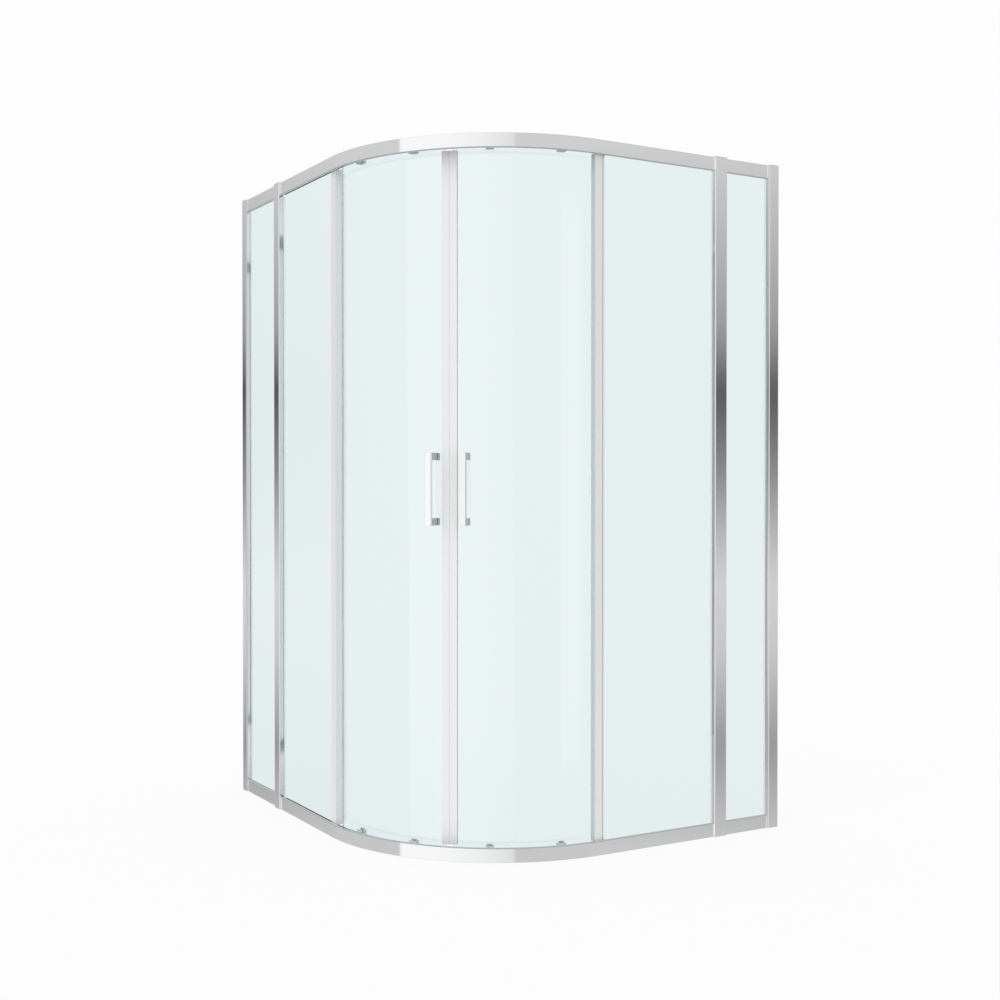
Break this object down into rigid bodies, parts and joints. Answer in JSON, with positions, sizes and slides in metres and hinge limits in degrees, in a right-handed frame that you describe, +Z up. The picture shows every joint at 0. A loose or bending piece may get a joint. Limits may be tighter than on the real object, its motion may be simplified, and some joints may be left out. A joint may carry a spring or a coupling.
{
  "type": "corner shower enclosure",
  "caption": "Framed quadrant corner shower enclosure: curved sliding glass doors on rollers, flat fixed panels and narrow framed extension panels to the walls.",
  "frame": {"origin": "centre of the footprint on the plane that the enclosure stands on", "axes": "+Z up; the left side with the longer extension runs along +Y to its wall, the right side runs along +X to its wall, and the curved doors face -X and -Y"},
  "size_m": [1.1924, 1.2884, 1.952],
  "materials": {
    "polished_frame": "polished",
    "polished_metal": "polished",
    "clear_glass": "clear toughened",
    "clear_seal": "translucent",
    "grey_plastic": "moulded",
    "white_wheel": "moulded",
    "silver_plastic": "plated",
    "soft_rubber": "matt",
    "clear_gasket": "translucent",
    "bright_steel": "plain"
  },
  "bodies": {
    "frame": {"bottom_rail": "polished_frame", "door_stops": "soft_rubber", "frame_screws": "bright_steel", "glazing_beads": "clear_seal", "glazing_gaskets": "clear_gasket", "left_extension_bottom_rail": "polished_frame", "left_extension_glass": "clear_glass", "left_extension_top_rail": "polished_frame", "left_fixed_glass": "clear_glass", "left_post": "polished_frame", "left_seam_seal": "clear_seal", "left_wall_profile": "polished_frame", "left_wall_stile": "polished_frame", "profile_caps": "silver_plastic", "right_extension_bottom_rail": "polished_frame", "right_extension_glass": "clear_glass", "right_extension_top_rail": "polished_frame", "right_fixed_glass": "clear_glass", "right_post": "polished_frame", "right_seam_seal": "clear_seal", "right_wall_profile": "polished_frame", "right_wall_stile": "polished_frame", "top_rail": "polished_frame"},
    "left_door": {"left_door_glass": "clear_glass", "left_magnetic_seal": "clear_seal", "left_trailing_seal": "clear_seal", "left_outer_handle": "polished_metal", "left_inner_knobs": "polished_metal", "left_handle_screws": "bright_steel", "left_top_roller_brackets": "grey_plastic", "left_top_roller_axles": "bright_steel", "left_roller_clamps": "silver_plastic", "left_bottom_roller_housings": "silver_plastic", "left_bottom_front_spring": "bright_steel", "left_bottom_rear_spring": "bright_steel"},
    "left_top_front_wheel": {"left_top_front_wheel": "white_wheel"},
    "left_bottom_front_slider": {"left_bottom_front_slider": "grey_plastic"},
    "left_bottom_front_wheel": {"left_bottom_front_wheel": "white_wheel"},
    "left_top_rear_wheel": {"left_top_rear_wheel": "white_wheel"},
    "left_bottom_rear_slider": {"left_bottom_rear_slider": "grey_plastic"},
    "left_bottom_rear_wheel": {"left_bottom_rear_wheel": "white_wheel"},
    "right_door": {"right_door_glass": "clear_glass", "right_magnetic_seal": "clear_seal", "right_trailing_seal": "clear_seal", "right_outer_handle": "polished_metal", "right_inner_knobs": "polished_metal", "right_handle_screws": "bright_steel", "right_top_roller_brackets": "grey_plastic", "right_top_roller_axles": "bright_steel", "right_roller_clamps": "silver_plastic", "right_bottom_roller_housings": "silver_plastic", "right_bottom_front_spring": "bright_steel", "right_bottom_rear_spring": "bright_steel"},
    "right_top_front_wheel": {"right_top_front_wheel": "white_wheel"},
    "right_bottom_front_slider": {"right_bottom_front_slider": "grey_plastic"},
    "right_bottom_front_wheel": {"right_bottom_front_wheel": "white_wheel"},
    "right_top_rear_wheel": {"right_top_rear_wheel": "white_wheel"},
    "right_bottom_rear_slider": {"right_bottom_rear_slider": "grey_plastic"},
    "right_bottom_rear_wheel": {"right_bottom_rear_wheel": "white_wheel"}
  },
  "joints": [
    {"name": "left_door_travel", "type": "hinge", "parent": "frame", "child": "left_door", "pos_m": [0.19945, -0.02615, 0.975], "axis": [0, 0, -1], "range_deg": [0, 20.11]},
    {"name": "left_top_front_wheel_spin", "type": "hinge", "parent": "left_door", "child": "left_top_front_wheel", "pos_m": [-0.48619, -0.37508, 1.9396], "axis": [0.8912, 0.4536, 0], "range_deg": [-1940, 0]},
    {"name": "left_bottom_front_slider_release", "type": "slide", "parent": "left_door", "child": "left_bottom_front_slider", "axis": [0, 0, -1], "range_m": [0, 0.0035], "stiffness_N_per_m": 800, "springref_m": -0.004, "deforming": ["left_bottom_front_spring"]},
    {"name": "left_bottom_front_wheel_spin", "type": "hinge", "parent": "left_bottom_front_slider", "child": "left_bottom_front_wheel", "pos_m": [-0.48619, -0.37508, 0.0124], "axis": [0.8912, 0.4536, 0], "range_deg": [0, 2580]},
    {"name": "left_top_rear_wheel_spin", "type": "hinge", "parent": "left_door", "child": "left_top_rear_wheel", "pos_m": [-0.55385, -0.18235, 1.9396], "axis": [0.9792, 0.203, 0], "range_deg": [-1940, 0]},
    {"name": "left_bottom_rear_slider_release", "type": "slide", "parent": "left_door", "child": "left_bottom_rear_slider", "axis": [0, 0, -1], "range_m": [0, 0.0035], "stiffness_N_per_m": 800, "springref_m": -0.004, "deforming": ["left_bottom_rear_spring"]},
    {"name": "left_bottom_rear_wheel_spin", "type": "hinge", "parent": "left_bottom_rear_slider", "child": "left_bottom_rear_wheel", "pos_m": [-0.55385, -0.18235, 0.0124], "axis": [0.9792, 0.203, 0], "range_deg": [0, 2580]},
    {"name": "right_door_travel", "type": "hinge", "parent": "frame", "child": "right_door", "pos_m": [0.02185, 0.15145, 0.975], "axis": [0, 0, 1], "range_deg": [0, 20.11]},
    {"name": "right_top_front_wheel_spin", "type": "hinge", "parent": "right_door", "child": "right_top_front_wheel", "pos_m": [-0.32708, -0.53419, 1.9396], "axis": [0.4536, 0.8912, 0], "range_deg": [0, 1940]},
    {"name": "right_bottom_front_slider_release", "type": "slide", "parent": "right_door", "child": "right_bottom_front_slider", "axis": [0, 0, -1], "range_m": [0, 0.0035], "stiffness_N_per_m": 800, "springref_m": -0.004, "deforming": ["right_bottom_front_spring"]},
    {"name": "right_bottom_front_wheel_spin", "type": "hinge", "parent": "right_bottom_front_slider", "child": "right_bottom_front_wheel", "pos_m": [-0.32708, -0.53419, 0.0124], "axis": [0.4536, 0.8912, 0], "range_deg": [-2580, 0]},
    {"name": "right_top_rear_wheel_spin", "type": "hinge", "parent": "right_door", "child": "right_top_rear_wheel", "pos_m": [-0.13435, -0.60184, 1.9396], "axis": [0.203, 0.9792, 0], "range_deg": [0, 1940]},
    {"name": "right_bottom_rear_slider_release", "type": "slide", "parent": "right_door", "child": "right_bottom_rear_slider", "axis": [0, 0, -1], "range_m": [0, 0.0035], "stiffness_N_per_m": 800, "springref_m": -0.004, "deforming": ["right_bottom_rear_spring"]},
    {"name": "right_bottom_rear_wheel_spin", "type": "hinge", "parent": "right_bottom_rear_slider", "child": "right_bottom_rear_wheel", "pos_m": [-0.13435, -0.60184, 0.0124], "axis": [0.203, 0.9792, 0], "range_deg": [-2580, 0]}
  ],
  "couplings": [
    {"joint": "left_top_front_wheel_spin", "follows": "left_door_travel", "ratio": -96.165},
    {"joint": "left_bottom_front_wheel_spin", "follows": "left_door_travel", "ratio": 128.22},
    {"joint": "left_top_rear_wheel_spin", "follows": "left_door_travel", "ratio": -96.165},
    {"joint": "left_bottom_rear_wheel_spin", "follows": "left_door_travel", "ratio": 128.22},
    {"joint": "right_top_front_wheel_spin", "follows": "right_door_travel", "ratio": 96.165},
    {"joint": "right_bottom_front_wheel_spin", "follows": "right_door_travel", "ratio": -128.22},
    {"joint": "right_top_rear_wheel_spin", "follows": "right_door_travel", "ratio": 96.165},
    {"joint": "right_bottom_rear_wheel_spin", "follows": "right_door_travel", "ratio": -128.22}
  ]
}
